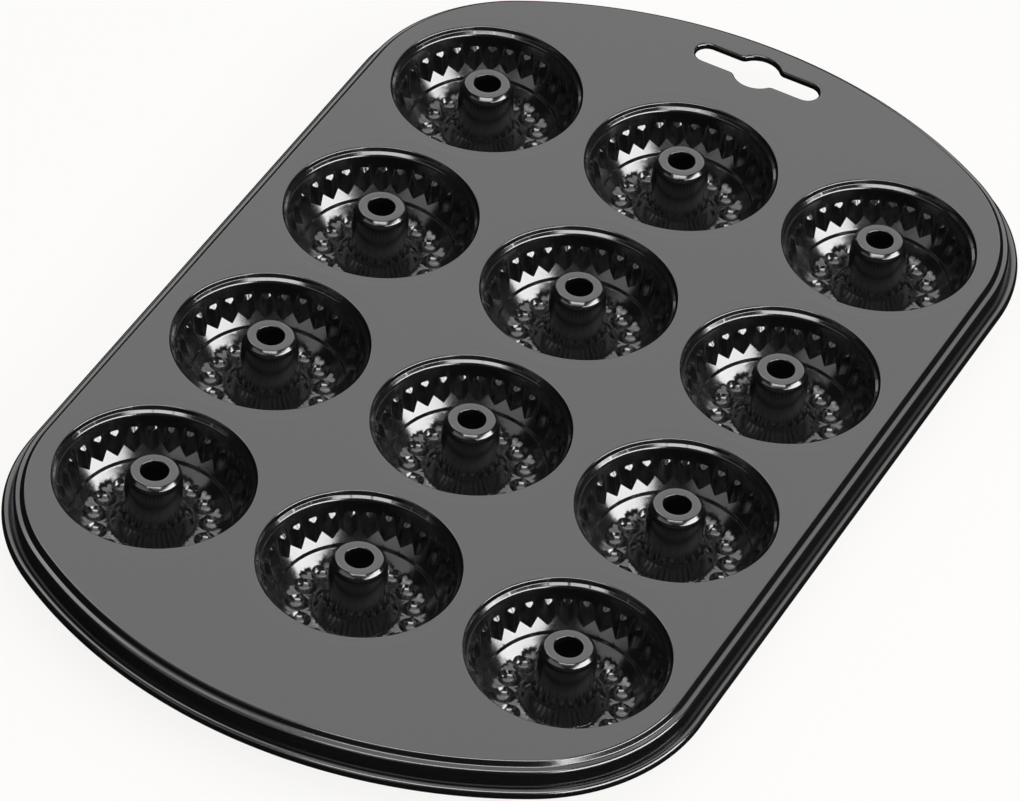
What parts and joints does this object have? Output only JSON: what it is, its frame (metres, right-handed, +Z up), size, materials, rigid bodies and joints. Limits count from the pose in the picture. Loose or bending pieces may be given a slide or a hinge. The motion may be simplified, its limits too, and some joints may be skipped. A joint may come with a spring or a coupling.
{
  "type": "mini bundt pan",
  "caption": "Rectangular bakeware sheet with rows of ribbed, lobed ring-cake cups, each round a hollow chimney, inside a rolled rim with a hanging slot.",
  "frame": {"origin": "under the middle of the pan, on the plane that the lobes of the cups stand on", "axes": "+Z up out of the cups, +Y along the pan towards the hanging slot, +X across the pan"},
  "size_m": [0.265, 0.42, 0.0283],
  "materials": {
    "coated_steel": "glossy dark non-stick coating"
  },
  "bodies": {
    "root": {"pan": "coated_steel"}
  },
  "joints": []
}
